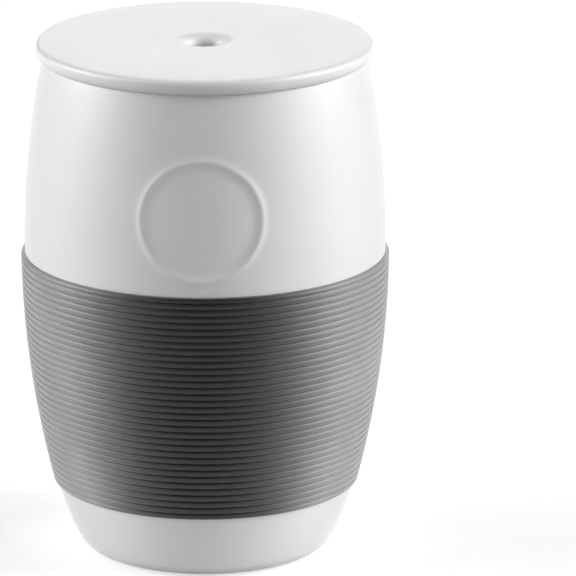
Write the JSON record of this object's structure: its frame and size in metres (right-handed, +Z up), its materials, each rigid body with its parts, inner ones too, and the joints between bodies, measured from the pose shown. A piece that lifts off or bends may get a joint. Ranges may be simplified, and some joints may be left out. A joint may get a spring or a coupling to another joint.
{
  "type": "microwave egg cooker",
  "caption": "Barrel-shaped ceramic cup with a drop-in lid vented at its centre and a ribbed silicone grip sleeve, for cooking eggs in a microwave oven.",
  "frame": {"origin": "on the table, under the centre of the foot ring", "axes": "+Z up along the cup's axis, -Y towards the front with the round badge, +X to the right seen from the front"},
  "size_m": [0.0868, 0.0868, 0.1227],
  "materials": {
    "cup_glaze": "gloss",
    "lid_glaze": "gloss",
    "sleeve_silicone": "matte"
  },
  "bodies": {
    "root": {"cup": "cup_glaze", "lid": "lid_glaze", "sleeve": "sleeve_silicone"}
  },
  "joints": []
}
